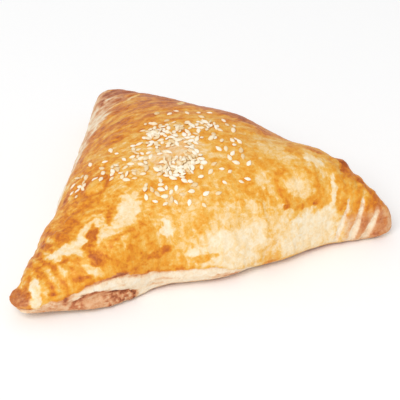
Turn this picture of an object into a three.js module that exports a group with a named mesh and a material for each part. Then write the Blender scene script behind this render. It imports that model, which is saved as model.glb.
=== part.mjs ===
import * as THREE from "three";

// A baked samsa: a plump triangular parcel of flaky dough. Three flaps are folded under and meet in a
// Y-shaped seam on the underside, the three corners are pinched into blunt tips, and the layers of the
// dough stand out as ridges across each corner. It is one closed solid.
// Millimetres, +Z up. The front edge runs along X from the left corner to the right one, the third corner
// points to +Y, and the origin is the middle of the footprint on the flat underside.

const sideLength = 153; // front edge, between the corners as if they were sharp
const depthShare = 0.95; // depth, as a share of an equilateral triangle's
const domeHeight = 27; // middle of the parcel above its rim
const domeFullness = 0.63; // exponent of the dome: smaller is fuller, with steeper flanks
const underReach = 7.3; // how far the rim tucks in between its widest line and the flat underside
// Half way along an edge: height below and above its widest line, and how far in the rounded rim reaches.
const waist = { below: 6.7, above: 7, rim: 8 };

// The corners in order: how far each stands out beyond the even triangle, the tip's width across, its
// thickness below and above the widest line, the reach of its rounded rim, how far the tip curls up off the
// table, how much of the dome leans that way, and its ridges' height.
const corners = [
  { name: "left", further: 1.8, tip: 6, below: 4.1, above: 4.4, rim: 9, lift: 3.4, lean: 0.92, ridge: 0.3 },
  { name: "right", further: 0, tip: 11.5, below: 3.6, above: 9.5, rim: 14, lift: 0, lean: 1.18, ridge: 0.55 },
  { name: "back", further: 0.5, tip: 13, below: 5.3, above: 7.5, rim: 5, lift: 1.5, lean: 0.9, ridge: 0.3 },
];

// Each edge runs from its corner to the next one. Swells push it out or in, centred at a share of its
// length and dying away over the shares given before and after that.
const edges = [
  {
    from: 0,
    swells: [
      { at: 0.22, out: 2.6, before: 0.16, after: 0.09 },
      { at: 0.37, out: -1.4, before: 0.05, after: 0.05 },
      { at: 0.52, out: 3.4, before: 0.11, after: 0.06 },
      { at: 0.66, out: 1.4, before: 0.04, after: 0.06 },
      { at: 0.82, out: -3.6, before: 0.11, after: 0.14 },
    ],
  },
  { from: 1, swells: [{ at: 0.5, out: -1, before: 0.35, after: 0.35 }] },
  {
    from: 2,
    swells: [
      { at: 0.08, out: 1, before: 0.08, after: 0.08 },
      { at: 0.5, out: -2, before: 0.26, after: 0.2 },
      { at: 0.92, out: 1.8, before: 0.08, after: 0.06 },
    ],
  },
];

// Swells of the upper crust, as places from the middle with a height and a radius.
const crustSwells = [
  { x: 59, y: -25, high: 1.7, radius: 4.5 },
  { x: 46, y: -24, high: 2.4, radius: 14 },
  { x: 36, y: -7, high: -2, radius: 14 },
  { x: 26, y: 10, high: 1, radius: 14 },
  { x: 15, y: 27, high: -1.2, radius: 14 },
];

// The dough's layers: rings about the middle that show only towards the corners.
const layers = { spacing: 4.7, crest: 59.3, start: 48, full: 58 };

const seam = { depth: 1.4, halfWidth: 4 }; // the three grooves where the flaps meet underneath

// The browned lower flap that bulges out from under the front edge and lifts it. Places along it are shares
// of the edge: it comes out quickly, is furthest out at its crest, and draws back slowly.
const flap = { from: 0.02, crest: 0.22, to: 0.38, out: 4.2, notch: 1.7, raise: 3 };

const edgeSteps = [32, 24, 24]; // samples along each edge, closer together towards the corners
const tipSteps = 8; // samples round a tip
const innerRings = 8; // over the middle of the dome
const ridgeRings = 17; // over the outer crust, where the ridges are
const rimRings = 6; // round the rim
const underRings = 10; // tucking under
const flatRings = 5; // across the underside
const ridgeBandStart = 0.52; // share of a ray at which the finer rings begin
const rimBandStart = 0.91; // share of a ray at which the finest rings begin

const smoothStep = THREE.MathUtils.smoothstep;

// The sharp-cornered triangle that the real outline is cut from, about its middle.
const depth = (sideLength * Math.sqrt(3) * depthShare) / 2;
const sharp = [
  new THREE.Vector2(-sideLength / 2, -depth / 3),
  new THREE.Vector2(sideLength / 2, -depth / 3),
  new THREE.Vector2(0, (2 * depth) / 3),
];
sharp.forEach((point, i) => point.setLength(point.length() + corners[i].further));

function nextOf(index) {
  return (index + 1) % corners.length;
}

function directionOf(edge) {
  return sharp[nextOf(edge.from)].clone().sub(sharp[edge.from]).normalize();
}

function lengthOf(edge) {
  return sharp[edge.from].distanceTo(sharp[nextOf(edge.from)]);
}

// How far back from a sharp corner its blunt tip begins, measured along either edge.
function cutBack(index) {
  const along = directionOf(edges[index]);
  const back = directionOf(edges[(index + 2) % edges.length]).negate();
  const halfAngle = Math.acos(along.dot(back)) / 2;
  return corners[index].tip / 2 / Math.sin(halfAngle);
}

function swellAt(edge, share) {
  let out = 0;
  for (const swell of edge.swells) {
    const spread = share < swell.at ? swell.before : swell.after;
    out += swell.out * Math.exp(-(((share - swell.at) / spread) ** 2));
  }
  return out;
}

// A station is one place on the perimeter: the point on the blunted outline, the swell that moves it, the
// matching point on the sharp triangle, and how much of the lower flap shows there.
function stationOnEdge(edge, share) {
  const along = directionOf(edge);
  const outward = new THREE.Vector2(along.y, -along.x);
  const ideal = sharp[edge.from].clone().addScaledVector(along, share * lengthOf(edge));
  const swell = outward.multiplyScalar(swellAt(edge, share));
  let flapShown = 0;
  if (edge.from === 0) {
    flapShown = smoothStep(share, flap.from, flap.crest) * (1 - smoothStep(share, flap.crest, flap.to));
  }
  return { outline: ideal.clone(), swell, ideal, flapShown };
}

function curvePoint(start, pull, end, t) {
  return new THREE.QuadraticBezierCurve(start, pull, end).getPoint(t);
}

function makeStations() {
  const stations = [];
  for (const edge of edges) {
    const nextIndex = nextOf(edge.from);
    const first = cutBack(edge.from) / lengthOf(edge);
    const last = 1 - cutBack(nextIndex) / lengthOf(edge);
    const steps = edgeSteps[edge.from];
    for (let i = 0; i < steps; i++) {
      const even = i / (steps - 1);
      const eased = (1 - Math.cos(Math.PI * even)) / 2;
      const t = THREE.MathUtils.lerp(even, eased, 0.6);
      stations.push(stationOnEdge(edge, THREE.MathUtils.lerp(first, last, t)));
    }
    const before = stations[stations.length - 1];
    const nextEdge = edges[nextIndex];
    const after = stationOnEdge(nextEdge, cutBack(nextIndex) / lengthOf(nextEdge));
    const middle = before.outline.clone().add(after.outline).multiplyScalar(0.5);
    const pull = sharp[nextIndex].clone().lerp(middle, 0.1); // keeps the tip blunt
    for (let i = 1; i <= tipSteps; i++) {
      const t = i / (tipSteps + 1);
      stations.push({
        outline: curvePoint(before.outline, pull, after.outline, t),
        swell: before.swell.clone().lerp(after.swell, t),
        ideal: curvePoint(before.ideal, sharp[nextIndex], after.ideal, t),
        flapShown: THREE.MathUtils.lerp(before.flapShown, after.flapShown, t),
      });
    }
  }
  return stations;
}

const sharpTriangle = new THREE.Triangle(...sharp.map((point) => new THREE.Vector3(point.x, point.y, 0)));

// Shares of the three corners at a point of the sharp triangle: they add up to 1.
function cornerShares(point) {
  const flat = new THREE.Vector3(point.x, point.y, 0);
  const shares = sharpTriangle.getBarycoord(flat, new THREE.Vector3());
  return shares.toArray().map((share) => Math.max(share, 0));
}

// A size that differs from corner to corner, blended into its value half way along the edges.
function blended(shares, key, atMiddle) {
  const nearness = shares.map((share) => smoothStep(share, 0.55, 0.95));
  const rest = 1 - nearness.reduce((sum, value) => sum + value, 0);
  return corners.reduce((sum, corner, i) => sum + corner[key] * nearness[i], atMiddle * rest);
}

function liftAt(shares) {
  let lift = 0;
  corners.forEach((corner, i) => {
    lift += corner.lift * Math.max((shares[i] - 0.6) / 0.4, 0) ** 1.6;
  });
  return lift;
}

const leanSum = corners.reduce((sum, corner) => sum + corner.lean, 0);

// 1 at the dome's peak, 0 on the rim.
function domeShape(shares) {
  let shape = 1;
  corners.forEach((corner, i) => {
    shape *= (shares[i] / (corner.lean / leanSum)) ** corner.lean;
  });
  return shape ** domeFullness;
}

function ridgeAt(shares, point) {
  const reach = point.length();
  const shown = smoothStep(reach, layers.start, layers.full);
  const height = blended(shares, "ridge", 0);
  return shown * height * Math.cos((2 * Math.PI * (reach - layers.crest)) / layers.spacing);
}

// Place in plan at a share u of the way from the middle to the outline: the swells keep to the rim.
function planPoint(station, u) {
  return station.outline.clone().multiplyScalar(u).addScaledVector(station.swell, u ** 6);
}

// Upper crust at a share u of the way from the middle to the outline.
function upperPoint(station, u) {
  const plan = planPoint(station, u);
  const shares = cornerShares(station.ideal.clone().multiplyScalar(u));
  const inward = Math.min(((1 - u) * station.outline.length()) / blended(shares, "rim", waist.rim), 1);
  const roundRim = Math.sqrt(1 - (1 - inward) ** 2);
  let z = blended(shares, "below", waist.below) + blended(shares, "above", waist.above) * roundRim;
  z += station.flapShown * flap.raise * smoothStep(u, 0.6, 1);
  z += domeHeight * domeShape(shares) + liftAt(shares);
  z += ridgeAt(shares, plan) * roundRim;
  for (const swell of crustSwells) {
    const distance = Math.hypot(plan.x - swell.x, plan.y - swell.y) / swell.radius;
    z += swell.high * Math.exp(-(distance ** 2)) * roundRim;
  }
  return new THREE.Vector3(plan.x, plan.y, z);
}

// The tuck under the rim: turn is 0 at the widest line and 1 where it meets the flat underside.
function tuckPoint(station, turn) {
  const angle = (turn * Math.PI) / 2;
  const shares = cornerShares(station.ideal);
  const bulge = flap.out * smoothStep(turn, 0.25, 0.75) * (1 - smoothStep(turn, 0.88, 1));
  const notch = flap.notch * Math.exp(-(((turn - 0.2) / 0.1) ** 2));
  const shift = -underReach * (1 - Math.cos(angle)) + station.flapShown * (bulge - notch);
  const plan = planPoint(station, 1);
  plan.addScaledVector(plan.clone().normalize(), shift);
  const height = blended(shares, "below", waist.below) + station.flapShown * flap.raise;
  return new THREE.Vector3(plan.x, plan.y, height * (1 - Math.sin(angle)) + liftAt(shares));
}

// The flat underside with its three seams, at a share v of the way from the tuck to the middle.
function undersidePoint(station, v) {
  const start = tuckPoint(station, 1);
  const plan = new THREE.Vector2(start.x, start.y).multiplyScalar(1 - v);
  let z = start.z * (1 - smoothStep(v, 0, 0.3));
  for (const corner of sharp) {
    const along = corner.clone().normalize();
    const aside = Math.min(Math.abs(plan.cross(along)) / seam.halfWidth, 1);
    if (plan.dot(along) > 0) z += seam.depth * (1 - aside ** 2) ** 2 * smoothStep(v, 0, 0.3);
  }
  return new THREE.Vector3(plan.x, plan.y, z);
}

function makeRings(stations) {
  const rings = [];
  const addRing = (place, share) => rings.push(stations.map((station) => place(station, share)));
  for (let i = 1; i <= innerRings; i++) addRing(upperPoint, (ridgeBandStart * i) / innerRings);
  for (let i = 1; i <= ridgeRings; i++) {
    addRing(upperPoint, THREE.MathUtils.lerp(ridgeBandStart, rimBandStart, i / ridgeRings));
  }
  for (let i = 1; i <= rimRings; i++) {
    addRing(upperPoint, 1 - (1 - rimBandStart) * (1 - Math.sin((Math.PI * i) / rimRings / 2)));
  }
  for (let i = 1; i <= underRings; i++) addRing(tuckPoint, i / underRings);
  for (let i = 1; i < flatRings; i++) addRing(undersidePoint, i / flatRings);
  return rings;
}

// Closed skin: a peak, rings of points going outwards, down and back in, and a point underneath.
function skinGeometry(top, rings, bottom) {
  const points = [top, ...rings.flat(), bottom];
  const around = rings[0].length;
  const triangles = [];
  for (let i = 0; i < around; i++) {
    const next = (i + 1) % around;
    triangles.push(0, 1 + i, 1 + next);
    for (let ring = 0; ring + 1 < rings.length; ring++) {
      const near = 1 + ring * around;
      const far = near + around;
      triangles.push(near + i, far + i, far + next);
      triangles.push(near + i, far + next, near + next);
    }
    const lastRing = 1 + (rings.length - 1) * around;
    triangles.push(lastRing + i, points.length - 1, lastRing + next);
  }
  const geometry = new THREE.BufferGeometry().setFromPoints(points);
  geometry.setIndex(triangles);
  return geometry;
}

function makePastry() {
  const stations = makeStations();
  const top = upperPoint(stations[0], 0);
  const bottom = new THREE.Vector3(0, 0, seam.depth);
  const geometry = skinGeometry(top, makeRings(stations), bottom);
  geometry.computeBoundingBox();
  const box = geometry.boundingBox;
  geometry.translate(-(box.min.x + box.max.x) / 2, -(box.min.y + box.max.y) / 2, -box.min.z);
  geometry.computeVertexNormals();
  const material = new THREE.MeshStandardMaterial({
    color: new THREE.Color().setRGB(0.87, 0.62, 0.33, THREE.SRGBColorSpace),
    roughness: 0.6,
    metalness: 0,
  });
  const pastry = new THREE.Mesh(geometry, material);
  pastry.name = "pastry";
  return pastry;
}

const samsa = new THREE.Group();
samsa.name = "samsa";
samsa.add(makePastry());

export default samsa;
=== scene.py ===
import bpy
import math
import numpy as np
from mathutils import Matrix, Vector
from mathutils.bvhtree import BVHTree


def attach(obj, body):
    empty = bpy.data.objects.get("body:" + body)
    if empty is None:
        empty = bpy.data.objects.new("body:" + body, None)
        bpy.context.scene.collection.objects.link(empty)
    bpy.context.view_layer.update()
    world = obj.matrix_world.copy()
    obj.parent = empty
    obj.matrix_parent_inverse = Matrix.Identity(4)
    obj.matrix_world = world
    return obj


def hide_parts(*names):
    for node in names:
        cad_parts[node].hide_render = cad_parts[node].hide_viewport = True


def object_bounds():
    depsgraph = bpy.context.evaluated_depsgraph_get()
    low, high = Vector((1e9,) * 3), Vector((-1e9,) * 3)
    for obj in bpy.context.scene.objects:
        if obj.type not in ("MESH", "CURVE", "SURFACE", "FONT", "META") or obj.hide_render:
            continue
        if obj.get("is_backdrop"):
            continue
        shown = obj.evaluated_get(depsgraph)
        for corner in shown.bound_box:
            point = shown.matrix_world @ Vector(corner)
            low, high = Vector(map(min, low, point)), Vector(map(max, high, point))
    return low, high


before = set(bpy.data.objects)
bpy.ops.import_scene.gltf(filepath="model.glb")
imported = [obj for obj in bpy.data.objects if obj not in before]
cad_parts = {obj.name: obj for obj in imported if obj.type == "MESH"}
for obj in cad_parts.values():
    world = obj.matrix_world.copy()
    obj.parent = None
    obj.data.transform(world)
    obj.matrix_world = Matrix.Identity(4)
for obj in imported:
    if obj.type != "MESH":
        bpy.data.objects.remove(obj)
cadLow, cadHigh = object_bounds()
print("frame loaded, box", [round(v, 4) for v in (*cadLow, *cadHigh)])

mm = 0.001


# helpers
def deselectAll():
    if bpy.context.object and bpy.context.object.mode != "OBJECT":
        bpy.ops.object.mode_set(mode="OBJECT")
    bpy.ops.object.select_all(action="DESELECT")


def pickOnly(thing):
    deselectAll()
    thing.select_set(True)
    bpy.context.view_layer.objects.active = thing


def applyModifier(thing, kind, **settings):
    pickOnly(thing)
    modifier = thing.modifiers.new(kind.lower(), kind)
    for name, value in settings.items():
        setattr(modifier, name, value)
    bpy.ops.object.modifier_apply(modifier=modifier.name)


def readPoints(mesh):
    points = np.empty(len(mesh.vertices) * 3)
    mesh.vertices.foreach_get("co", points)
    return points.reshape(-1, 3) / mm


def readNormals(mesh):
    normals = np.empty(len(mesh.vertices) * 3)
    mesh.vertex_normals.foreach_get("vector", normals)
    return normals.reshape(-1, 3)


def writePoints(mesh, points):
    mesh.vertices.foreach_set("co", (points * mm).ravel())
    mesh.update()


def writeAttribute(mesh, name, values):
    attribute = mesh.attributes.get(name) or mesh.attributes.new(name, "FLOAT", "POINT")
    attribute.data.foreach_set("value", np.clip(values, 0, 1).astype(np.float32))


def selectOnly(thing, kind, test):
    # selects the polygons or vertices that pass a test, and stays in edit mode
    bpy.ops.object.mode_set(mode="EDIT")
    bpy.ops.mesh.select_all(action="DESELECT")
    bpy.ops.object.mode_set(mode="OBJECT")
    for item in getattr(thing.data, kind):
        item.select = test(item)
    bpy.ops.object.mode_set(mode="EDIT")


def smooth(low, high, value):
    # 0 at low and 1 at high, soft at both ends; low may be the larger of the two
    t = np.clip((value - low) / (high - low), 0, 1)
    return t * t * (3 - 2 * t)


def span(value, start, full, stillFull, end):
    # 0 up to start, 1 from full to stillFull, and 0 again from end
    return smooth(start, full, value) * smooth(end, stillFull, value)


def bell(value, width):
    # 1 where the value is 0, fading away on both sides
    return np.exp(-(value / width) ** 2)


def lineThrough(values, pairs):
    # straight stretches between pairs of place and value
    return np.interp(values, *zip(*pairs))


def noiseAt(points, size, seed):
    # gradient noise, about -1 to 1; size is one grain in mm, or three of them
    cells = 32            # the grid repeats after this many grains
    gain = 1.6            # brings the range to about -1 to 1
    slopes = np.random.default_rng(seed).normal(size=(cells, cells, cells, 3))
    slopes /= np.linalg.norm(slopes, axis=3, keepdims=True)
    place = points / np.asarray(size, float)
    cell = np.floor(place).astype(int)
    part = place - cell
    ease = part ** 3 * (part * (part * 6 - 15) + 10)
    total = np.zeros(len(points))
    for corner in np.ndindex(2, 2, 2):
        ahead = np.array(corner)
        slope = slopes[tuple(((cell + ahead) % cells).T)]
        weight = np.where(ahead == 1, ease, 1 - ease).prod(1)
        total += weight * (slope * (part - ahead)).sum(1)
    return total * gain


def roughNoise(points, size, seed, octaves=3):
    # each octave is half as large and half as strong
    total = 0
    for n in range(octaves):
        total = total + noiseAt(points, np.asarray(size, float) / 2 ** n, seed + n) / 2 ** n
    return total


# crust skin
crustSkin = {
    "merge": 0.002,        # mm within which loose points are joined
    "flatJoin": 0.8,       # turn in radians up to which two triangles make a quad
    "grid": 0.53,          # mm between points of the fine skin
    "underTilt": -0.3,     # faces that point down more than this count as the underside
    "underShare": 0.2,     # part of those faces that is kept
    "middle": (2.2, -16.5),
    "corners": {"left": (-74, -57), "right": (74, -57), "back": (1, 62)},
    "sideBlend": 6,        # mm over which one side turns into the next
    "cornerSpread": 28,    # degrees to each side of a corner, seen from the middle
    "seedRoom": 0.8,       # mm kept free under the top of the box for the seeds
}

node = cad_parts["pastry"]
crust = bpy.data.objects.new("crust", node.data.copy())
bpy.context.scene.collection.objects.link(crust)
crust.data.materials.clear()
pickOnly(crust)
bpy.ops.object.mode_set(mode="EDIT")
bpy.ops.mesh.select_all(action="SELECT")
bpy.ops.mesh.remove_doubles(threshold=crustSkin["merge"] * mm)
join = crustSkin["flatJoin"]
bpy.ops.mesh.tris_convert_to_quads(face_threshold=join, shape_threshold=join)
bpy.ops.object.mode_set(mode="OBJECT")
applyModifier(crust, "SUBSURF", levels=1, render_levels=1)
applyModifier(crust, "REMESH", mode="VOXEL", voxel_size=crustSkin["grid"] * mm,
              use_smooth_shade=True)
applyModifier(crust, "SMOOTH", factor=0.5, iterations=2)
print("crust skin", len(crust.data.vertices), "points")

# the underside needs fewer faces than the top
pickOnly(crust)
selectOnly(crust, "polygons", lambda face: face.normal.z < crustSkin["underTilt"])
bpy.ops.mesh.select_mode(type="FACE")
bpy.ops.mesh.decimate(ratio=crustSkin["underShare"])
bpy.ops.mesh.select_mode(type="VERT")
bpy.ops.object.mode_set(mode="OBJECT")
triangles = sum(len(face.vertices) - 2 for face in crust.data.polygons)
print("underside thinned,", triangles, "triangles")

points = readPoints(crust.data)
normals = readNormals(crust.data)
x, y, z = points.T
up = normals[:, 2]                # 1 on the flat top, 0 on an upright wall, -1 on the underside
middleX, middleY = crustSkin["middle"]
reach = np.hypot(x - middleX, y - middleY)
turn = np.degrees(np.arctan2(y - middleY, x - middleX))
corners = crustSkin["corners"]


def measureSide(a, b):
    # how far in from the edge between two corners, and how far along it, seen from above
    (ax, ay), (bx, by) = corners[a], corners[b]
    length = math.hypot(bx - ax, by - ay)
    inward = ((bx - ax) * (y - ay) - (by - ay) * (x - ax)) / length
    onward = ((bx - ax) * (x - ax) + (by - ay) * (y - ay)) / length
    return inward, onward


front = measureSide("left", "right")
right = measureSide("right", "back")
left = measureSide("back", "left")
sides = (front, right, left)
fromFront, fromRight, fromLeft = (inward for inward, onward in sides)
nearEdge = np.minimum(fromLeft, fromRight)
# the share that each side has in a point, turning over softly where two sides meet
shares = np.stack([np.exp(-inward / crustSkin["sideBlend"]) for inward, onward in sides])
shares /= shares.sum(0)
frontSide, rightSide, leftSide = shares

warp = roughNoise(points, 9, 11)             # slow wander, used to bend most lines
warpFine = roughNoise(points, 3, 21)
wall = span(up, -0.6, -0.2, 0.25, 0.72)      # where the skin is steep
foot = span(up, -0.75, -0.45, 0.45, 0.8)
under = smooth(-0.5, -0.85, up)
topside = smooth(0.35, 0.7, up)


def toCorner(start, full, heading):
    # grows from 0 to 1 towards the corner that lies in this direction from the middle
    return smooth(start, full, reach) * bell((turn - heading) / crustSkin["cornerSpread"], 1)


toRight = toCorner(50, 58, -30)
toLeft = toCorner(52, 62, -150)

# crust relief
crustRelief = {
    # creases round the right corner: x on the front wall at creaseBase, lean, half width, top,
    # and distance from the middle on the far side
    "rightCreases": ((52, 0.4, 1, 20, 62), (58.5, 0.4, 1.5, 19, 67), (65.5, 0.7, 1.5, 14, 72)),
    "creaseBase": 8,
    "leftCreases": (72, 67, 63.5, 60, 55.5),      # distance left of the middle
    "creaseDepth": 0.5, "creaseLip": 0.35,
    "layerHeights": (1.5, 3.5, 5.5, 8.5, 11),
    "layerStep": 0.30,
    # where the browned wash ends on the front wall: x and height
    "washLine": ((-75, 4), (-66, 6), (-62, 8.5), (-56, 9), (-46, 12.5), (-34, 13), (-20, 9.5),
                 (0, 8.5), (6, 6), (20, 2.5), (75, 3)),
    "washBehind": 8.5,           # its height on the other two walls
    "washStep": 0.25,
    # edge of the front layer that is folded over: height and x
    "foldEdge": ((4, 20.5), (7, 18.5), (16, 21.5), (26, 21), (35, 12)),
    "foldStep": 0.35,
    # top of the loose brown layer under the front edge: x and height
    "flapTop": ((-54, 6.5), (-50, 8.5), (-45, 9), (-34, 6.5), (-29, 4)),
    "flapEnds": (-54.5, -52.8, -30.5, -28),       # x: start, full, still full, end
    "flapSmooth": (-49, -45),                     # x between which it is smooth
    "flapGroove": 0.7, "flapCrumbs": 0.45,
    "wrinkle": 0.17, "wideWrinkle": 0.16,
    "grit": 0.09, "swell": 0.22, "crack": 0.16,
    "notch": 0.6, "notchHeight": 24, "notchSpread": 9,     # on the crest of the right corner
    "pit": 0.10, "seam": 0.5,    # on the underside
    # places pushed out of true: x, y, height, reach of the push, moves in x, y and z
    "pushes": (
        (-75, -51, 7, 4.5, -1.8, 1.4, 0), (-74, -59, 1, 5, 5.5, 2.5, 0),
        (-72, -54, 14, 6, 0, 0, -3),
        (-69, -46, 6, 4, 1.3, -0.9, 0), (-48, -22, 10, 8, 2.4, -1.5, 0),
        (-46, -15, 14, 4, 1, -0.5, 0), (-53, -29, 16, 4, -1, 0.6, 0),
        (51, -36, 27, 8, 0.3, 0.5, 0.7), (59, -41, 26, 3, 0.3, 0.4, 0.8),
        (62, -43, 25, 2, -0.5, -1, -1.8),
    ),
    # x, y, radius, rise
    "blisters": (
        (38, -50, 11, 0.9), (-34, -28.5, 4.5, 1.2), (-27, -16, 5, 0.4), (14, 4, 7, 0.5),
        (-12, 22, 6, 0.5), (30, -20, 7, 0.4), (-46.5, -36.5, 2, 0.5), (-17, -4, 5, 0.4),
        (4, 38, 5, 0.4), (-41.5, -39.5, 2, 0.4), (52, -46, 4.5, 0.4), (-40, -33, 3, 0.4),
        (-52, -40, 3.5, 0.4), (24, -40, 7, 0.3), (-56, -50, 4, 0.3),
    ),
}


def grain(along, across, seed):
    # noise drawn out along each side, as rolled layers are
    total = 0
    for side, (inward, onward) in enumerate(sides):
        local = np.stack([onward, inward, z], 1)
        size = (along, across, across)
        total = total + shares[side] * roughNoise(local, size, seed + side * 7)
    return total


def arcs(along, across, seed):
    # noise drawn out in rings about the middle, as the dough folds at a corner
    angle = np.radians(turn)
    ring = 45             # mm from the middle where a ring keeps its true length
    local = np.stack([np.cos(angle) * ring, np.sin(angle) * ring, reach + 0.8 * warp], 1)
    return roughNoise(local, (along, along, across), seed)


def falls(along, across, seed):
    # noise drawn out down the front slope, as the wash runs
    local = np.stack([x + 0.1 * z + 0.8 * warp, y * 0.8, z], 1)
    return roughNoise(local, (across, along, along), seed)


def acrossTop(bendX, bendY):
    # x, y and height turned 20 degrees, as the brush passed over the top
    return np.stack([0.94 * x - 0.34 * y + bendX, 0.34 * x + 0.94 * y + bendY, z], 1)


def brushed(along, across, seed):
    # noise drawn out from side to side over the top
    return roughNoise(acrossTop(0, 1.2 * warp), (along, across, along), seed)


def crisp(value):
    # noise with its soft slopes made steep
    return 2 * smooth(-0.3, 0.3, value) - 1


# how much of each kind of stroke a point takes: front slope, corners, top and the rest
frontShare = smooth(24, 10, fromFront) * span(x, -48, -34, 50, 60)
cornerShare = np.clip(smooth(46, 58, reach) - smooth(4, 20, y), 0, 1) * (1 - frontShare)
topShare = smooth(4, 9, nearEdge) * smooth(-44, -34, y)
topShare = topShare * (1 - frontShare - cornerShare)
sideShare = np.clip(1 - frontShare - cornerShare - topShare, 0, 1)
strokes = (frontShare * falls(8, 1.7, 61) + cornerShare * arcs(10, 1.6, 64)
           + sideShare * grain(8, 1.9, 67) + topShare * brushed(5, 1.5, 57))
strokesWide = (frontShare * falls(12, 4, 71) + cornerShare * arcs(14, 3.4, 74)
               + sideShare * grain(12, 4, 77) + topShare * brushed(9, 3.2, 87))

washLine = lineThrough(x, crustRelief["washLine"]) * frontSide
washLine = washLine + crustRelief["washBehind"] * (1 - frontSide)
washLine = washLine * (1 - 0.8 * toRight) + 0.5 * warpFine + 0.6 * warp
washGap = z - washLine

relief = np.zeros(len(points))
layers = np.zeros(len(points))        # dark lines between layers
pale = np.zeros(len(points))          # light lines where the dough pulled apart

# creases across the right and left corners
rise = z - crustRelief["creaseBase"]          # the right ones lean as they rise
# only by the right corner, towards the front and off the underside
rightBand = smooth(46, 50, x - 0.35 * rise) * smooth(-20, -30, y) * smooth(-0.7, -0.3, up)
for at, lean, wide, top, behind in crustRelief["rightCreases"]:
    away = frontSide * (x - at - lean * rise) + (1 - frontSide) * (reach - behind)
    away = away + 0.35 * warp + 0.25 * warpFine
    broad = wide * (1.25 - 0.045 * z)
    share = rightBand * smooth(top + 1.5, top - 1.5, z + warp)
    dip = span(away, -1.3 * broad, 0.3, 0.3, broad)
    relief -= crustRelief["creaseDepth"] * share * dip
    relief += crustRelief["creaseLip"] * share * bell(away - 2.2 * broad, 1.1 * broad)
    pale = np.maximum(pale, share * smooth(1.35, 0.75, np.abs(away) / broad))
for at in crustRelief["leftCreases"]:
    line = bell(middleX - x + 0.8 * warp - at, 0.6) * toLeft * smooth(-0.4, 0, up)
    relief -= 0.6 * crustRelief["creaseDepth"] * line

# thin layers showing along the foot of the walls, but hardly on the smooth right of the front
for height in crustRelief["layerHeights"]:
    level = height + 1.6 * warp + 0.3 * warpFine + 0.5 * grain(30, 12, 31)
    gap = z - level
    broken = smooth(-0.2, 0.35, roughNoise(points, (12, 12, 3), 41 + int(height * 10)))
    share = foot * broken * smooth(15, 9, z) * (1 - 0.9 * frontSide * smooth(-18, -8, x))
    relief -= crustRelief["layerStep"] * share * span(gap, 0, 0.5, 0.9, 2.6)
    layers = np.maximum(layers, share * bell(gap - 0.15, 0.36))

# the egg wash ends in a small step with a rim, which is browned later on the left of the front
relief += crustRelief["washStep"] * foot * span(washGap, -0.3, 0.5, 1, 9)
rim = foot * bell(washGap - 0.1, 0.8) * smooth(-0.5, 0.0, warp + 0.3)

# the front layer is folded over, and its edge runs down the wall
foldSide = x - lineThrough(z, crustRelief["foldEdge"]) - 0.5 * warpFine
foldShare = frontSide * smooth(36, 27, z) * span(up, -0.8, -0.4, 0.7, 0.95)
relief += crustRelief["foldStep"] * foldShare * span(foldSide, -14, -3, -0.6, 1.0)

# blisters, a little wider than deep
for bx, by, radius, lift in crustRelief["blisters"]:
    away = np.hypot(x - bx, (y - by) * 1.15) + 0.6 * warpFine
    relief += lift * (1 - smooth(0.35, 1.0, away / radius)) * topside

# the crest of the right corner is notched and cracked
crest = bell(z - crustRelief["notchHeight"], crustRelief["notchSpread"])
crest = toRight * crest * smooth(0.15, 0.6, up)
notches = smooth(0.1, 0.7, roughNoise(points, (2.4, 2.4, 5), 51))
relief -= crustRelief["notch"] * crest * notches

# flaky wrinkles, and finer ones on the steep faces
baked = 1 - under                    # all but the underside
gentle = 1 - 0.4 * topShare          # the top is smoother than the sides
relief += crustRelief["wrinkle"] * strokes * baked * (0.7 + 0.5 * wall) * gentle
relief += crustRelief["wideWrinkle"] * strokesWide * baked * gentle
relief += crustRelief["grit"] * roughNoise(points, 2.4, 81) * (1 - 0.6 * under)
relief += crustRelief["swell"] * roughNoise(points, 8, 84) * baked
# fine cracks between the strokes in places, most of all at the corners and on the top
cracks = np.clip(1 - np.abs(strokes) * 2.6, 0, 1) ** 2
cracked = smooth(0.0, 0.5, warp + 0.5 * cornerShare + 0.3 * topShare)
relief -= crustRelief["crack"] * cracks * cracked * baked * gentle

# the loose brown layer under the front edge is rough, but for a stretch left of its middle
flapGap = z - lineThrough(x, crustRelief["flapTop"]) - 0.6 * warpFine - 0.5 * warp
flapShare = frontSide * span(x, *crustRelief["flapEnds"]) * smooth(0.4, -0.3, flapGap)
flapShare = flapShare * smooth(-0.9, -0.6, up)
roughLeft, roughRight = crustRelief["flapSmooth"]
flapRough = 0.9 * smooth(roughLeft, roughLeft - 2, x) + smooth(roughRight, roughRight + 5, x)
crumbs = roughNoise(points, (1.6, 1.6, 1.1), 101)
relief += crustRelief["flapCrumbs"] * flapShare * crumbs * flapRough
relief -= crustRelief["flapGroove"] * flapShare * smooth(-1.4, 0.1, flapGap)

# the underside keeps flat, with shallow pits and a fold line from the middle to each corner
relief -= crustRelief["pit"] * under * smooth(0, 0.6, roughNoise(points, 4, 111))
seamAway = np.full(len(points), np.inf)
for cornerX, cornerY in corners.values():
    length = math.hypot(cornerX - middleX, cornerY - middleY)
    alongX = (cornerX - middleX) / length
    alongY = (cornerY - middleY) / length
    ahead = (x - middleX) * alongX + (y - middleY) * alongY
    aside = np.abs((x - middleX) * alongY - (y - middleY) * alongX + 0.8 * warp)
    seamAway = np.where(ahead > -2, np.minimum(seamAway, aside), seamAway)
relief -= crustRelief["seam"] * under * bell(seamAway, 1.0)

# the corners and crests are a little out of true
shift = np.zeros_like(points)
for px, py, pz, size, *move in crustRelief["pushes"]:
    away = np.sqrt((x - px) ** 2 + (y - py) ** 2 + (z - pz) ** 2)
    shift += bell(away, size)[:, None] * np.array(move) * baked[:, None]
points = points + normals * relief[:, None] + shift

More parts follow.
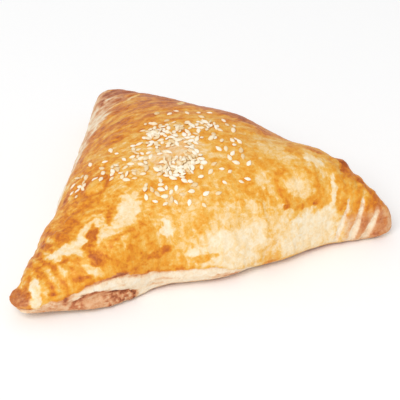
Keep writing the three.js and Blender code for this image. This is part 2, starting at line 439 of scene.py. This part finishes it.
# nothing passes the box or the table, and the top leaves room for the seeds
low = np.array(cadLow) / mm
high = np.array(cadHigh) / mm
points[:, 2] -= crustSkin["seedRoom"] * smooth(33, 41, points[:, 2])
points = np.clip(points, low, high)
writePoints(crust.data, points)
pickOnly(crust)
bpy.ops.object.shade_smooth()
print("crust relief done")

# crust browning
crustBrowning = {
    # main marks on the top: x, y, half length, half width, turn in degrees,
    # and bake from 0 for raw to 1 for dark brown
    "top": (
        # broad changes
        (-54, -41, 18, 9, 50, 0.59), (-38, -26, 13, 9, 60, 0.57), (-26, -38, 9, 6, 70, 0.45),
        (30, -24, 18, 9, -50, 0.48), (36, -37, 14, 8, -30, 0.37), (14, -46, 14, 6, 0, 0.45),
        (-8, -50, 14, 5, 0, 0.4), (-4, -29, 13, 8, 0, 0.37),
        # light places, where the wash was thin, except the two at (45, -42) and (37, -41), which
        # are a painted highlight where light catches the crust behind the right blister
        (-52, -49, 7, 2.5, -15, 0.15), (-46, -48, 6, 2.5, 60, 0.2), (-41, -45, 4, 2, -20, 0.25),
        (-34, -50, 8, 3, 10, 0.25), (-27, -45, 6, 4, 70, 0.25), (-11, -28, 9, 2.5, -10, 0.35),
        (7, -34, 6, 2, -20, 0.35), (45, -42, 5, 2, -50, 0.18), (-34, -29, 4, 3, 0, 0.46),
        (37, -41, 7, 1.5, 10, 0.3),
        (24, -49, 4, 2.5, -10, 0.35), (2, 32, 6, 1, 40, 0.35), (15, 12, 5, 1.5, 55, 0.3),
        (-66, -56, 4, 2, 80, 0.15), (36, -50, 4.5, 2, 0, 0.3),
        # left corner
        (-34, -43, 5, 2, 75, 0.6), (-49, -39, 7, 4, 65, 0.67), (-57, -38, 7, 1, 50, 0.7),
        (-43, -50, 5, 2, 65, 0.7), (-72, -54, 5, 3.5, 65, 0.72),
        # left crest and back
        (-44, -24, 3, 1, 60, 0.85), (-40, -18, 3, 1.5, 60, 0.7), (-31, -13, 5, 3, 70, 0.6),
        (-17, -6, 2.5, 1.5, -40, 0.8), (-8, 8, 5, 2.5, 75, 0.65), (5, 27, 5, 3, 75, 0.7),
        (10, 18, 7, 3.5, 60, 0.75), (2, 45, 7, 2, 100, 0.8), (-5, 41, 4, 1.5, 75, 0.7),
        # right crest and blister
        (36, -18, 8, 2.5, 70, 0.65), (31, -10, 9, 4, -40, 0.82), (40, -35, 5, 2.5, 50, 0.6),
        (48, -37, 4, 1.5, -30, 0.7), (58, -45, 4, 2.5, 60, 0.75), (59, -42, 3, 1.5, -30, 0.95),
        (65, -51, 6, 1.2, -50, 0.85),
    ),
    # brown rings round blisters: x, y, radius, squash, bake
    "rings": ((-34, -28.5, 5, 0.9, 0.76), (-17, -4, 4.5, 0.9, 0.68), (34, -36, 9, 0.7, 0.5),
              (36, -50, 8, 0.6, 0.56)),
    # main marks on the front wall: x, height, and the rest as on the top
    "front": (
        # broad changes
        (-33, 20, 16, 8, 0, 0.52), (-55, 13, 8, 5, 10, 0.53), (-10, 22, 10, 7, 0, 0.42),
        (8, 14, 15, 10, 0, 0.16), (10, 24, 12, 4, 0, 0.35), (40, 12, 14, 10, 0, 0.12),
        (37, 27, 8, 6, 0, 0.3), (67, 11, 9, 9, 0, 0.71), (56, 18, 6, 8, 0, 0.55),
        # left corner
        (-43, 20, 4, 2.5, -15, 0.74), (-45, 17, 4, 1.5, -25, 0.3), (-50, 15, 4, 1, 10, 0.7),
        (-67, 10, 4, 2, 90, 0.1), (-73, 7, 4, 6, 0, 0.72),
        # golden patch
        (-30, 17, 6, 2.5, 0, 0.6), (-20, 17, 4.5, 1.5, 10, 0.72), (-34, 14, 5, 1, 10, 0.66),
        # middle and fold
        (-8, 15, 2.5, 1.5, 0, 0.1), (-16, 24, 2, 2.5, 0, 0.1), (30, 19, 6, 7, 0, 0.26),
        (23, 18, 3, 8, 0, 0.34),
        (20, 6, 2.5, 4, 0, 0.42), (21, 3, 3, 2, 0, 0.62),
        # right half
        (38, 17, 5.5, 2.5, 0, 0.05), (36, 22, 7, 1.2, -10, 0.44), (45, 22, 3, 4.5, 0, 0.42),
        (30, 23, 1.5, 1, -10, 0.78), (36, 21.5, 2, 1, -10, 0.74), (42, 21, 1.5, 1, 10, 0.78),
        (-4, 13, 5, 1.2, 5, 0.46),
        (49.5, 22.5, 5.5, 1.2, 75, 0.12),
        (65, 16, 3, 3, -20, 0.65),
    ),
    # brown places below the wash: the same
    "foot": ((-58, 4, 10, 3.5, 0, 0.8), (-30, 11, 4, 0.6, -15, 0.55), (4, 4, 6, 1, -5, 0.7)),
    # matt, tan places: the same, but the last number is the share of wash that is missing
    "dryTop": ((-71, -55, 6, 4.5, 65, 0.4), (10, 18, 10, 5, 60, 0.2), (31, -10, 10, 5, -40, 0.45),
               (-4, -29, 12, 8, 0, 0.48)),
    "dryFront": ((-72, 7, 4.5, 6, 0, 0.5), (-40, 13, 10, 1, 5, 0.6), (22, 8, 4, 8, 0, 0.4)),
    "even": 0.47,                # bake in the middle of the top, before any mark
    # how much browner the back, the edges of the top and the right crest are
    "backBrown": 0.15, "edgeBrown": 0.10, "crestBrown": 0.17,
    "outerPale": 0.34,           # how much paler the two outer walls are
    "leftStripes": (4.2, 0.13), "rightStripes": (6.2, 0.07),     # spacing and strength
    "flaky": 0.09, "chips": 0.09,
    "contrast": 1.18, "contrastMiddle": 0.40,
    "darkest": 0.85,
    "bareDough": 0.13, "creaseDough": 0.08,      # bake below the wash line and in the creases
    "layerLines": 0.26, "washRim": 0.22,         # how much browner these are
    "flap": 0.50, "underside": 0.60, "undersideWash": 0.15,
    "markBend": 0.6, "markBendMost": 1.8,     # wander of a mark's edge: in half widths, and in mm
    "markStrength": 0.9,
}
bendU = roughNoise(points, 3.2, 151)     # these two bend the edges of marks and stripes
bendV = roughNoise(points, 3.2, 161)


def markShare(u, v, shape):
    # 1 inside a mark and 0 outside it
    centreU, centreV, long, wide, turned = shape
    angle = math.radians(turned)
    bend = min(crustBrowning["markBend"] * wide, crustBrowning["markBendMost"])
    du = u - centreU + bend * bendU
    dv = v - centreV + bend * bendV
    a = (du * math.cos(angle) + dv * math.sin(angle)) / long
    b = (dv * math.cos(angle) - du * math.sin(angle)) / wide
    soft = 0.25 * smooth(3, 8, wide)          # broad changes fade in, small marks are crisp
    return smooth(1.2 + soft, 0.82 - soft, np.hypot(a, b) + 0.24 * strokes)


def mixTo(value, target, share):
    # moves a value towards another by a share of the way
    return value + share * (target - value)


def bakeMarks(value, kind, v, where):
    # one mark after the other, the later ones over the earlier
    for *shape, target in crustBrowning[kind]:
        share = crustBrowning["markStrength"] * markShare(x, v, shape)
        value = mixTo(value, target, share * where)
    return value


def dryMarks(value, kind, v, where):
    for *shape, missing in crustBrowning[kind]:
        value = value * (1 - missing * markShare(x, v, shape) * where)
    return value


frontWall = frontSide * span(up, -0.85, -0.4, 0.80, 0.92) * smooth(-30, -38, y)
flatEnough = smooth(0.1, 0.4, up)
# the pale outer walls begin where the skin turns steep, at a line that wanders
edge = up + 0.08 * warp + 0.04 * strokes - 0.08 * smooth(10, 40, y) + 0.20 * smooth(-10, -24, y)
edge = edge - 0.24 * smooth(-10, 20, y) - 0.10 * smooth(24, 40, y)
leftWall = smooth(0.60, 0.42, edge) * smooth(0.3, 0.6, leftSide) * smooth(-70, -63, x)
rightWall = smooth(0.24, 0.04, edge) * smooth(0.3, 0.6, rightSide) * smooth(64, 52, x)
outerWall = np.clip((leftWall + rightWall) * smooth(-0.6, -0.3, up), 0, 1)

# an even start: golden over the middle, browner towards the back and along the crests
bake = crustBrowning["even"] + crustBrowning["backBrown"] * smooth(-16, 8, y)
bake = bake + crustBrowning["edgeBrown"] * smooth(12, 3, nearEdge + 2 * warp) * topside
rightCrest = smooth(22, 13, fromRight + 3 * warp) * smooth(0, 0.5, up) * smooth(-36, -20, y)
bake = bake + crustBrowning["crestBrown"] * rightCrest
bake = bakeMarks(bake, "top", y, flatEnough)
bake = bakeMarks(bake, "front", z, frontWall)
calm = np.zeros(len(points))          # the skin of a blister is smoother than the flakes round it
for ringX, ringY, radius, squash, ringBake in crustBrowning["rings"]:
    bend = 0.03 * radius ** 2          # the larger a blister, the less regular it is
    away = np.hypot(x - ringX + bend * bendU, (y - ringY + bend * bendV) / squash) - radius
    share = bell(away, 0.25 * radius) * (1 - 0.07 * radius * smooth(0.2, -0.4, strokesWide))
    bake = mixTo(bake, ringBake, 0.95 * share * flatEnough)
    calm = np.maximum(calm, smooth(2, 0, away) * flatEnough)

# pale and brown stripes round the left corner, as the folds were pinched
spacing, strength = crustBrowning["leftStripes"]
stripeAt = (x + 0.25 * (y + 54) + 0.9 * bendU) * 2 * math.pi / spacing
stripeShare = span(x, -71, -68, -56, -52) * smooth(-0.2, 0.2, up) * smooth(9, 11, z)
bake = bake + strength * np.sin(stripeAt) * stripeShare
# wider golden and tan ones above the creases of the right corner
spacing, strength = crustBrowning["rightStripes"]
stripeAt = (x - 54.5 - 0.4 * (z - 20) + 0.7 * bendU) * 2 * math.pi / spacing
stripeShare = frontSide * smooth(51, 53, x) * smooth(13, 16, z) * smooth(0.9, 0.7, up)
rightStripes = np.cos(stripeAt) * stripeShare
bake = bake + strength * rightStripes

# flaky and speckled everywhere, most at the back, least on blisters and on the pale front
flecks = roughNoise(points, 1.7, 141, 2)
dapple = crisp(roughNoise(points, (5, 3.4, 3.4), 171))
blotches = crisp(roughNoise(points, (9, 6, 6), 181))
flaky = crustBrowning["flaky"] * (0.68 + 0.5 * smooth(-34, 10, y))
flaky = flaky * (0.35 + 0.65 * smooth(0.15, 0.40, bake))
flaky = flaky * (1 - 0.5 * calm) * (1 - 0.35 * bell(bake - 0.36, 0.14))
streaky = 1 - 0.6 * topShare - 0.7 * sideShare
blotchy = 0.6 + 0.3 * sideShare
patchy = 0.55 * smooth(-40, -20, y) + 0.4 * smooth(0, 20, y)
bake = bake + flaky * streaky * (strokes + 0.5 * crisp(strokesWide))
bake = bake + flaky * (blotchy * dapple + patchy * blotches + 0.45 * flecks + 0.5 * warpFine)
# crisp small flakes, light and dark, most on the left
chips = roughNoise(acrossTop(warp, 0), (3.4, 1.3, 1.6), 191)
chips = smooth(0.2, 0.4, chips) - smooth(0.2, 0.4, -chips)
chips = chips * (1 - 0.7 * calm) * (0.45 + 0.55 * smooth(0, -25, x))
bake = bake + crustBrowning["chips"] * chips * smooth(0.2, 0.45, bake) * (1 - wall)
bake = bake + 0.03 * warp - crustBrowning["outerPale"] * outerWall * smooth(34, 24, z)
contrastMiddle = crustBrowning["contrastMiddle"]
bake = contrastMiddle + crustBrowning["contrast"] * (bake - contrastMiddle)
bake = bake - 0.5 * np.clip(bake - 0.70, 0, None)      # the darkest and the palest are held back
bake = bake + 0.45 * np.clip(0.22 - bake, 0, None)

# below the wash line the dough is bare and pale, with browned places
bare = smooth(0.5, -0.6, washGap) * smooth(0.8, 0.45, up) * baked
bakeBare = crustBrowning["bareDough"] + 0.05 * strokesWide + 0.04 * warp + 0.03 * flecks
bakeBare = bakeBare + 0.14 * smooth(-52, -57, x) * frontSide
speckled = 0.5 + 0.5 * smooth(-0.4, 0.3, dapple)
bakeBare = bakeMarks(bakeBare, "foot", z, frontSide * speckled)
bake = mixTo(bake, bakeBare, bare)
pale = pale * (0.65 + 0.35 * smooth(-0.5, 0.2, dapple))
bake = bake * (1 - 0.85 * pale) + crustBrowning["creaseDough"] * pale
frontRim = rim * span(x, -64, -58, 2, 12) * frontSide
bake = bake + crustBrowning["layerLines"] * layers + crustBrowning["washRim"] * frontRim
bake = np.minimum(bake, crustBrowning["darkest"])

# the wash is thinner to the back, and thin low on the right corner
wash = (1 - bare) * (1 - 0.9 * outerWall)
wash = wash * (1 - 0.24 * smooth(-8, 10, y)) * (1 - 0.15 * smooth(28, 44, y))
dryCorner = smooth(47, 56, x + 0.5 * strokes) * smooth(20, 10, z + 1.5 * strokes)
wash = wash * (1 - 0.6 * dryCorner * smooth(0.9, 0.6, up))
wash = dryMarks(wash, "dryTop", y, flatEnough)
wash = dryMarks(wash, "dryFront", z, frontWall)
wash = wash * (1 - 0.8 * pale) * (1 - 0.35 * np.clip(-rightStripes, 0, 1))

# the loose layer is baked brown and grainy, and tan in its smooth stretch, with a painted shadow
# along its top, under the lip of the pale band
flapBakeAndShadow = crustBrowning["flap"] + 0.16 * smooth(-44, -39, x) + 0.14 * smooth(-48, -51, x)
# the last term is painted shadow: darker just under the top of the loose layer, where the lip above
# it overhangs
flapBakeAndShadow = flapBakeAndShadow + 0.44 * crumbs * flapRough + 0.3 * bell(flapGap + 0.5, 0.7)
bake = mixTo(bake, flapBakeAndShadow, flapShare)
wash = wash * (1 - flapShare)

# the side that sat on the tray is brown, with dark seams, and paler beside them and at the rim
underBake = crustBrowning["underside"] + 0.14 * roughNoise(points, 14, 121)
underBake = underBake + 0.08 * roughNoise(points, 4, 131)
underBake = underBake - 0.26 * smooth(4.5, 1.5, seamAway) + 0.42 * bell(seamAway, 0.9)
underBake = underBake - 0.20 * smooth(4, 0, np.minimum(nearEdge, fromFront) + warp)
bake = mixTo(bake, underBake, under)
wash = mixTo(wash, crustBrowning["undersideWash"], under)

writeAttribute(crust.data, "bake", bake)
writeAttribute(crust.data, "wash", wash)
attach(crust, "root")
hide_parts("pastry")
print("crust browning done")

# sesame
sesame = {
    "draw": 7,                                # another number strews the seeds another way
    "length": 2.85, "width": 1.75, "thickness": 0.85,
    "faces": (8, 6),                          # round a seed and along it
    "taper": ((0.55, 0.72), (1.15, 0.6)),     # mm from the middle, and how much narrower from there
    "sizes": (0.74, 1.12),                    # smallest and largest share of the full size
    "sunk": 0.28,                             # mm of a seed under the skin of the crust
    "tilt": 0.10, "roll": 0.14,               # usual lean in radians
    # seeds with others close by lie on them, and lean more for each one
    "crowdGap": 1.9, "crowdMost": 3, "crowdLift": 0.16, "crowdLean": 0.16,
    "topGap": 0.02,                           # mm kept free under the top of the box
    "spread": 0.6,                            # 0.5 strews an area evenly, more crowds its middle
    # areas that seeds are strewn over: x, y, half size along and across, turn, how many, least gap
    "strewn": (
        (-6, -36, 7, 5, -15, 110, 0.9), (2, -34, 3, 6, 0, 44, 1), (-4, -15, 4, 11, 15, 50, 1.3),
        (4, -19, 14, 9, -10, 190, 1.25), (-9, -22, 9, 7, 0, 60, 1.4),
        (-21, -28, 7, 9, -20, 56, 1.6),
        (-12, -44, 10, 5, -10, 66, 1.7), (4, -41, 8, 4, 0, 16, 1.9), (16, -38, 5, 10, 0, 30, 2.4),
        (16, -20, 8, 8, 0, 20, 2.6), (-30, -20, 12, 8, 30, 22, 3.2), (2, -49, 14, 5, 0, 16, 3.2),
        (6, -6, 16, 8, 0, 22, 3.2), (-38, -22, 7, 2.5, 60, 16, 1.8), (20, -30, 3, 2, 0, 9, 1.4),
    ),
}

deselectAll()
around, along = sesame["faces"]
bpy.ops.mesh.primitive_uv_sphere_add(segments=around, ring_count=along, radius=0.5 * mm,
                                     location=(0, 0, 0))
seed = bpy.context.object
seed.name = "sesame"
bpy.ops.object.mode_set(mode="EDIT")
bpy.ops.mesh.select_all(action="SELECT")
bpy.ops.transform.rotate(value=math.pi / 2, orient_axis="Y", center_override=(0, 0, 0))
bpy.ops.transform.resize(value=(sesame["length"], sesame["width"], sesame["thickness"]))
bpy.ops.object.mode_set(mode="OBJECT")
# one end is drawn to a point
for start, narrow in sesame["taper"]:
    selectOnly(seed, "vertices", lambda vertex: vertex.co.x > start * mm)
    bpy.ops.transform.resize(value=(1, narrow, narrow))
    bpy.ops.object.mode_set(mode="OBJECT")
bpy.ops.object.shade_smooth()

chance = np.random.default_rng(sesame["draw"])
spots = []
for px, py, long, wide, turned, count, close in sesame["strewn"]:
    angle = math.radians(turned)
    for _ in range(count):
        away = chance.uniform() ** sesame["spread"]
        heading = chance.uniform(0, 2 * math.pi)
        u = long * away * math.cos(heading)
        v = wide * away * math.sin(heading)
        spots.append((px + u * math.cos(angle) - v * math.sin(angle),
                      py + u * math.sin(angle) + v * math.cos(angle), close))

pickOnly(crust)
surface = BVHTree.FromObject(crust, bpy.context.evaluated_depsgraph_get())
skyward = Vector((0, 0, 1))
downward = Vector((0, 0, -1))
above = 0.1                       # metres, well over the crust
copies = []
placed = []
for px, py, close in spots:
    hit, normal = surface.ray_cast(Vector((px * mm, py * mm, above)), downward)[:2]
    gaps = [(other - hit).length / mm for other in placed]
    if gaps and min(gaps) < close:
        continue
    crowd = sum(gap < sesame["crowdGap"] for gap in gaps)
    lean = sesame["crowdLean"] * crowd
    copy = seed.copy()
    copy.data = seed.data.copy()
    bpy.context.scene.collection.objects.link(copy)
    upright = skyward.rotation_difference(normal).to_matrix().to_4x4()
    spin = Matrix.Rotation(chance.uniform(0, 2 * math.pi), 4, "Z")
    tilt = Matrix.Rotation(chance.normal() * (sesame["tilt"] + lean), 4, "Y")
    roll = Matrix.Rotation(chance.normal() * (sesame["roll"] + lean), 4, "X")
    size = chance.uniform(*sesame["sizes"])
    pose = upright @ spin @ tilt @ roll @ Matrix.Scale(size, 4)
    lift = min(crowd, sesame["crowdMost"]) * sesame["crowdLift"]
    height = (0.5 * sesame["thickness"] - sesame["sunk"] + lift) * mm
    spot = hit + normal * height
    top = spot.z + max((pose @ vertex.co).z for vertex in seed.data.vertices)
    spot.z -= max(0, top - cadHigh.z + sesame["topGap"] * mm)
    copy.matrix_world = Matrix.Translation(spot) @ pose
    tone = copy.data.attributes.new("tone", "FLOAT", "POINT")
    tones = np.full(len(copy.data.vertices), chance.uniform(), np.float32)
    tone.data.foreach_set("value", tones)
    placed.append(hit)
    copies.append(copy)
bpy.data.objects.remove(seed)
deselectAll()
for copy in copies:
    copy.select_set(True)
bpy.context.view_layer.objects.active = copies[0]
bpy.ops.object.join()
seeds = bpy.context.object
seeds.name = "sesame"
bpy.ops.object.transform_apply(location=True, rotation=True, scale=True)
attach(seeds, "root")
print("sesame done,", len(placed), "seeds")


# finishes
class Wire:
    # a socket that adds its own maths nodes when values are worked on
    def __init__(self, finish, socket):
        self.finish = finish
        self.socket = socket

    def maths(self, operation, first, second, clamped=False):
        settings = {"operation": operation, "use_clamp": clamped}
        return self.finish.add("ShaderNodeMath", settings, {0: first, 1: second}).out(0)

    def __add__(self, other):
        return self.maths("ADD", self, other)

    def __radd__(self, other):
        return self.maths("ADD", other, self)

    def __sub__(self, other):
        return self.maths("SUBTRACT", self, other)

    def __rsub__(self, other):
        return self.maths("SUBTRACT", other, self)

    def __mul__(self, other):
        return self.maths("MULTIPLY", self, other)

    def __rmul__(self, other):
        return self.maths("MULTIPLY", other, self)

    def clamp(self):
        return self.maths("ADD", self, 0.0, clamped=True)

    def between(self, low, high):
        # 0 at low and 1 at high, soft at both ends
        settings = {"interpolation_type": "SMOOTHSTEP"}
        values = {"Value": self, "From Min": low, "From Max": high}
        return self.finish.add("ShaderNodeMapRange", settings, values).out("Result")


class Made:
    # a node whose outputs are wires
    def __init__(self, finish, node):
        self.finish = finish
        self.node = node

    def out(self, name):
        return Wire(self.finish, self.node.outputs[name])


class Finish:
    # one material, built node by node
    def __init__(self, name):
        self.material = bpy.data.materials.new(name)
        self.material.use_nodes = True
        self.tree = self.material.node_tree
        self.tree.nodes.clear()

    def add(self, kind, settings=None, values=None):
        node = self.tree.nodes.new(kind)
        for name, value in (settings or {}).items():
            if name == "stops":
                self.setStops(node.color_ramp, value)
            else:
                setattr(node, name, value)
        for name, value in (values or {}).items():
            if isinstance(value, Wire):
                self.tree.links.new(value.socket, node.inputs[name])
            else:
                node.inputs[name].default_value = value
        return Made(self, node)

    def setStops(self, ramp, stops):
        while len(ramp.elements) > 1:
            ramp.elements.remove(ramp.elements[0])
        for n, (at, colour) in enumerate(stops):
            stop = ramp.elements[0] if n == 0 else ramp.elements.new(at)
            stop.position = at
            stop.color = linear(colour)

    def attribute(self, name):
        return self.add("ShaderNodeAttribute", {"attribute_name": name}).out("Fac")

    def place(self):
        return self.add("ShaderNodeTexCoord").out("Object")

    def noise(self, where, scale, detail, roughness, warp=0.0):
        values = {"Vector": where, "Scale": scale, "Detail": detail,
                  "Roughness": roughness, "Distortion": warp}
        return self.add("ShaderNodeTexNoise", {}, values).out("Fac")

    def ramp(self, factor, stops):
        return self.add("ShaderNodeValToRGB", {"stops": stops}, {"Fac": factor}).out("Color")

    def mix(self, factor, first, second):
        values = {0: factor, 6: first, 7: second}
        return self.add("ShaderNodeMix", {"data_type": "RGBA"}, values).out(2)

    def bump(self, height, strength, distance):
        values = {"Height": height, "Strength": strength, "Distance": distance}
        return self.add("ShaderNodeBump", {}, values).out("Normal")

    def close(self, values):
        # the last nodes of a finish
        shader = self.add("ShaderNodeBsdfPrincipled", {}, values).out("BSDF")
        self.add("ShaderNodeOutputMaterial", {}, {"Surface": shader})
        return self.material


def linear(colour):
    # a colour given as it is seen, 0 to 255, as the renderer's own light values
    seen = [c / 255 for c in colour]
    return tuple(c / 12.92 if c <= 0.04045 else ((c + 0.055) / 1.055) ** 2.4 for c in seen) + (1.0,)


crustFinish = {
    # noises: scale, where larger is finer, then detail, roughness and warp
    "mottle": (480, 4, 0.62, 0.8), "flecks": (1400, 3, 0.65),
    "patches": (300, 2, 0.5, 1.0), "pores": (2600, 2, 0.5),
    # how much each one changes the bake
    "mottleTone": 0.30, "fleckTone": 0.24, "patchTone": 0.09,
    # and how much it lifts the skin
    "mottleLift": 0.5, "fleckLift": 0.4, "poreLift": 0.15,
    "washBreak": 0.5,            # how ragged the edge of the wash is
    # the wash takes washShine off the roughness
    "bareRough": 0.62, "washShine": 0.2, "roughChange": 0.2,
    "coat": 0.06, "coatRough": 0.35, "gloss": 0.25,
    "bump": 0.8, "bumpDepth": 0.0006,
    # bake, and the colour with egg wash
    "washed": (
        (0.00, (248, 236, 212)), (0.14, (246, 227, 192)), (0.28, (243, 209, 152)),
        (0.42, (236, 181, 82)), (0.56, (230, 154, 38)), (0.68, (218, 131, 26)),
        (0.80, (196, 104, 24)), (0.91, (166, 80, 24)), (1.00, (132, 60, 26)),
    ),
    # bake, and the colour of dough without wash
    "bare": (
        (0.00, (248, 238, 220)), (0.18, (243, 224, 194)), (0.36, (233, 194, 154)),
        (0.54, (218, 160, 114)), (0.70, (196, 122, 80)), (0.86, (158, 88, 54)),
        (1.00, (108, 58, 36)),
    ),
}

finish = Finish("bakedCrust")
bakeValue = finish.attribute("bake")
washValue = finish.attribute("wash")
here = finish.place()
mottle = finish.noise(here, *crustFinish["mottle"])
flecks = finish.noise(here, *crustFinish["flecks"])
patches = finish.noise(here, *crustFinish["patches"]).between(0.40, 0.60)
pores = finish.noise(here, *crustFinish["pores"])
amount = bakeValue + (mottle - 0.5) * crustFinish["mottleTone"]
amount = amount + (flecks - 0.5) * crustFinish["fleckTone"]
amount = amount + (patches - 0.5) * crustFinish["patchTone"]
washed = finish.ramp(amount, crustFinish["washed"])
bareDough = finish.ramp(amount, crustFinish["bare"])
washEdge = (washValue + (mottle - 0.5) * crustFinish["washBreak"]).between(0.3, 0.7)
rough = crustFinish["bareRough"] - washEdge * crustFinish["washShine"]
rough = rough + (flecks - 0.5) * crustFinish["roughChange"]
height = mottle * crustFinish["mottleLift"] + flecks * crustFinish["fleckLift"]
height = height + pores * crustFinish["poreLift"]
crust.data.materials.append(finish.close({
    "Base Color": finish.mix(washEdge, bareDough, washed),
    "Roughness": rough,
    "Normal": finish.bump(height, crustFinish["bump"], crustFinish["bumpDepth"]),
    "Specular IOR Level": crustFinish["gloss"],
    "Coat Weight": washEdge * crustFinish["coat"],
    "Coat Roughness": crustFinish["coatRough"],
}))

sesameFinish = {
    "grit": (1500, 3, 0.6),
    "seedTone": 0.75, "gritTone": 0.4,
    "rough": 0.48, "roughChange": 0.15, "gloss": 0.4,
    "bump": 0.3, "bumpDepth": 0.0002,
    "hull": ((0.0, (255, 249, 236)), (0.45, (250, 238, 214)), (0.75, (243, 222, 182)),
             (1.0, (228, 194, 140))),
}

finish = Finish("sesameHull")
toneValue = finish.attribute("tone")
grit = finish.noise(finish.place(), *sesameFinish["grit"])
shade = (toneValue * sesameFinish["seedTone"] + grit * sesameFinish["gritTone"]).clamp()
seeds.data.materials.append(finish.close({
    "Base Color": finish.ramp(shade, sesameFinish["hull"]),
    "Roughness": sesameFinish["rough"] + grit * sesameFinish["roughChange"],
    "Normal": finish.bump(grit, sesameFinish["bump"], sesameFinish["bumpDepth"]),
    "Specular IOR Level": sesameFinish["gloss"],
}))
print("finishes done")

# floor, light, camera
studio = {
    "floorSize": 6, "floorColour": (255, 255, 255), "floorRough": 0.9,
    "worldLight": 0.72,
    "keyPlace": (-0.75, -0.85, 1.2), "keySize": 0.8, "keyPower": 12.0,
    # the camera stands in this direction from aim, in degrees, and this far off, in metres
    "aim": (0, 0, 0.015), "azimuth": -20.6, "elevation": 32.6, "distance": 0.7,
    "lens": 165, "sensor": 36, "roll": 0.9,
    "right": 0.0169, "down": 0.0134,          # metres from aim to the middle of its view
}

deselectAll()
bpy.ops.mesh.primitive_plane_add(size=studio["floorSize"], location=(0, 0, 0))
floor = bpy.context.object
floor.name = "floor"
bpy.ops.object.transform_apply(location=True, rotation=True, scale=True)
finish = Finish("paleFloor")
floor.data.materials.append(finish.close({
    "Base Color": linear(studio["floorColour"]), "Roughness": studio["floorRough"],
}))
floor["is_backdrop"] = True

world = bpy.data.worlds.new("studio")
bpy.context.scene.world = world
world.use_nodes = True
sky = world.node_tree.nodes["Background"].inputs
sky["Color"].default_value = (1, 1, 1, 1)
sky["Strength"].default_value = studio["worldLight"]

bpy.ops.object.light_add(type="AREA", location=studio["keyPlace"])
lamp = bpy.context.object
lamp.name = "key"
lamp.data.size = studio["keySize"]
lamp.data.energy = studio["keyPower"]
lamp.rotation_euler = (-Vector(studio["keyPlace"])).to_track_quat("-Z", "Y").to_euler()

azimuth = math.radians(studio["azimuth"])
elevation = math.radians(studio["elevation"])
back = Vector((math.sin(azimuth) * math.cos(elevation),
               -math.cos(azimuth) * math.cos(elevation),
               math.sin(elevation)))
rightward = Vector((math.cos(azimuth), math.sin(azimuth), 0))
upward = back.cross(rightward)
target = Vector(studio["aim"])
eye = target + back * studio["distance"]
aimed = target + rightward * studio["right"] - upward * studio["down"]
bpy.ops.object.camera_add(location=eye)
camera = bpy.context.object
level = (aimed - eye).to_track_quat("-Z", "Y").to_matrix()
roll = Matrix.Rotation(math.radians(studio["roll"]), 3, "Z")
camera.rotation_euler = (level @ roll).to_euler()
camera.data.lens = studio["lens"]
camera.data.sensor_width = studio["sensor"]
bpy.context.scene.camera = camera
bpy.context.scene.view_settings.view_transform = "Standard"
print("floor, light and camera done")

low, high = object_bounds()
